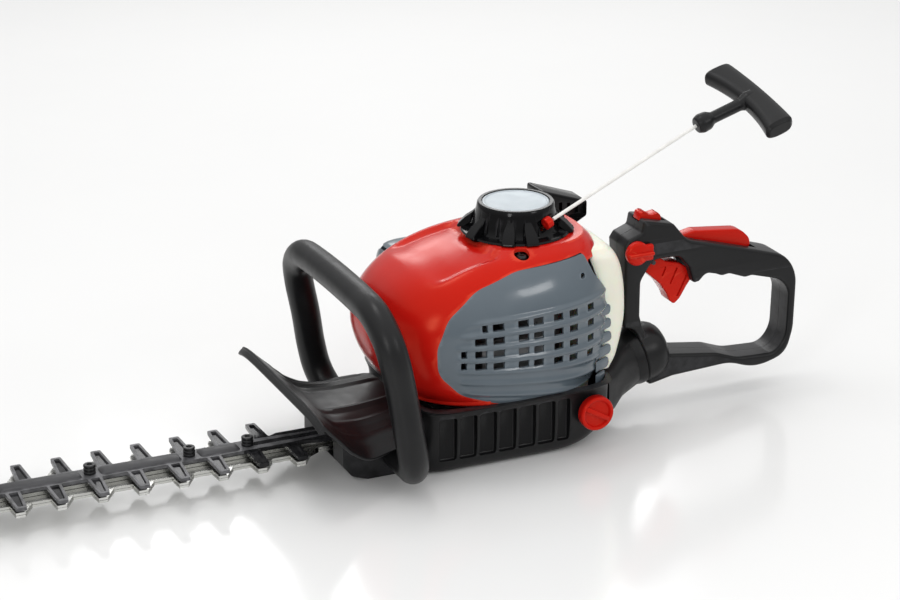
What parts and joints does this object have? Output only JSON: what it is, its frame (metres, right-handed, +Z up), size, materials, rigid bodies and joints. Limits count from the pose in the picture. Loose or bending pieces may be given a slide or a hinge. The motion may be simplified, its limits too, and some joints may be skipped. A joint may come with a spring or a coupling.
{
  "type": "petrol hedge trimmer",
  "caption": "Double-sided reciprocating-blade hedge trimmer with a petrol engine, recoil starter drawn out, loop front handle, hand guard and swivelling rear handle.",
  "frame": {"origin": "point of the underside on the crankshaft's upright axis", "axes": "+X toward the rear handle along the blade, +Y toward the air filter side, +Z up"},
  "size_m": [1.0654, 0.2466, 0.2995],
  "materials": {
    "black_plastic": "fine-grained moulded",
    "gloss_black_plastic": "polished moulded",
    "red_plastic": "glossy moulded",
    "grey_plastic": "glossy moulded",
    "tank_plastic": "translucent blow-moulded",
    "comb_metal": "dark anodised",
    "guide_metal": "satin",
    "blade_steel": "ground",
    "gear_steel": "machined",
    "dark_steel": "blackened",
    "cast_alloy": "cast",
    "plug_ceramic": "glazed",
    "rubber": "matt",
    "filter_foam": "open foam",
    "badge_metal": "brushed",
    "cord_nylon": "braided"
  },
  "bodies": {
    "chassis": {"air_filter": "filter_foam", "base_chassis": "black_plastic", "blade_bolt_1": "dark_steel", "blade_bolt_2": "dark_steel", "blade_bolt_3": "dark_steel", "blade_bolt_4": "dark_steel", "blade_bolt_5": "dark_steel", "blade_bolt_6": "dark_steel", "blade_carrier": "black_plastic", "carburettor": "cast_alloy", "carrier_bolt_front": "dark_steel", "carrier_bolt_rear": "dark_steel", "cord_eyelet": "red_plastic", "cover_screw": "dark_steel", "crankcase": "cast_alloy", "cylinder": "cast_alloy", "engine_cover": "red_plastic", "filter_cover": "grey_plastic", "front_handle": "black_plastic", "fuel_tank": "tank_plastic", "gearcase": "cast_alloy", "gearcase_lid": "cast_alloy", "guard_comb": "comb_metal", "guide_bar": "guide_metal", "hand_guard": "black_plastic", "handle_mount": "black_plastic", "ignition_coil": "black_plastic", "intake_hood": "gloss_black_plastic", "muffler": "cast_alloy", "plug_boot": "rubber", "side_cover": "grey_plastic", "spark_plug": "plug_ceramic", "starter_badge": "badge_metal", "starter_cord": "cord_nylon", "starter_housing": "gloss_black_plastic", "swivel_bolt": "dark_steel"},
    "upper_cutter": {"upper_blade": "blade_steel", "upper_yoke": "dark_steel", "upper_yoke_pin": "dark_steel"},
    "lower_cutter": {"lower_blade": "blade_steel", "lower_yoke": "dark_steel", "lower_yoke_pin": "dark_steel"},
    "crank": {"crankshaft": "gear_steel", "flywheel": "cast_alloy", "clutch_shoes": "dark_steel"},
    "clutch_output": {"clutch_drum": "dark_steel", "pinion": "gear_steel"},
    "gear": {"drive_gear": "gear_steel"},
    "piston_rod": {"piston": "cast_alloy", "connecting_rod": "gear_steel"},
    "pulley": {"rope_pulley": "cast_alloy"},
    "grip": {"starter_grip": "black_plastic"},
    "rear_handle": {"rear_handle_near": "black_plastic", "rear_handle_far": "black_plastic", "trigger_pin": "dark_steel"},
    "trigger": {"throttle_trigger": "red_plastic"},
    "lockout": {"throttle_lockout": "red_plastic"},
    "switch": {"stop_switch": "red_plastic"},
    "knob": {"lock_knob": "red_plastic"},
    "cap": {"fuel_cap": "red_plastic"}
  },
  "joints": [
    {"name": "upper_blade_stroke", "type": "slide", "parent": "chassis", "child": "upper_cutter", "axis": [1, 0, 0], "range_m": [-0.00875, 0.00875]},
    {"name": "lower_blade_stroke", "type": "slide", "parent": "chassis", "child": "lower_cutter", "axis": [1, 0, 0], "range_m": [-0.00875, 0.00875]},
    {"name": "crank_spin", "type": "hinge", "parent": "chassis", "child": "crank", "pos_m": [0, 0, 0.1], "axis": [0, 0, 1], "continuous": true},
    {"name": "gear_spin", "type": "hinge", "parent": "chassis", "child": "gear", "pos_m": [-0.046, 0, 0.034], "axis": [0, 0, 1], "continuous": true},
    {"name": "clutch_spin", "type": "hinge", "parent": "chassis", "child": "clutch_output", "pos_m": [0, 0, 0.05], "axis": [0, 0, 1], "continuous": true},
    {"name": "piston_stroke", "type": "slide", "parent": "chassis", "child": "piston_rod", "axis": [1, 0, 0], "range_m": [-0.0155, 0.0125]},
    {"name": "starter_pull", "type": "slide", "parent": "chassis", "child": "grip", "axis": [0.9266, 0.1948, 0.3217], "range_m": [-0.15, 0], "deforming": ["starter_cord"]},
    {"name": "pulley_spin", "type": "hinge", "parent": "chassis", "child": "pulley", "pos_m": [0, 0, 0.2], "axis": [0, 0, 1], "range_deg": [-400, 0]},
    {"name": "handle_swivel", "type": "hinge", "parent": "chassis", "child": "rear_handle", "pos_m": [0.1215, 0, 0.052], "axis": [0.9744, 0, 0.225], "range_deg": [-90, 90]},
    {"name": "trigger_squeeze", "type": "hinge", "parent": "rear_handle", "child": "trigger", "pos_m": [0.131, 0, 0.143], "axis": [0, -1, 0], "range_deg": [0, 16], "stiffness_Nm_per_rad": 0.3, "springref_deg": -22.92},
    {"name": "lockout_press", "type": "hinge", "parent": "rear_handle", "child": "lockout", "pos_m": [0.166, 0, 0.156], "axis": [0, 1, 0], "range_deg": [0, 7], "stiffness_Nm_per_rad": 0.3, "springref_deg": -17.19},
    {"name": "switch_slide", "type": "slide", "parent": "rear_handle", "child": "switch", "axis": [0.9731, 0, -0.2305], "range_m": [-0.004, 0.004]},
    {"name": "knob_turn", "type": "hinge", "parent": "rear_handle", "child": "knob", "pos_m": [0.1105, -0.017, 0.157], "axis": [0, -1, 0], "range_deg": [0, 90]},
    {"name": "cap_turn", "type": "hinge", "parent": "chassis", "child": "cap", "pos_m": [0.043, -0.0723, 0.038], "axis": [0, -1, 0], "range_deg": [0, 90]}
  ],
  "couplings": [
    {"joint": "lower_blade_stroke", "follows": "upper_blade_stroke", "ratio": -1},
    {"joint": "clutch_spin", "follows": "gear_spin", "ratio": -4},
    {"joint": "pulley_spin", "follows": "starter_pull", "rad_per_m": 46.3}
  ]
}
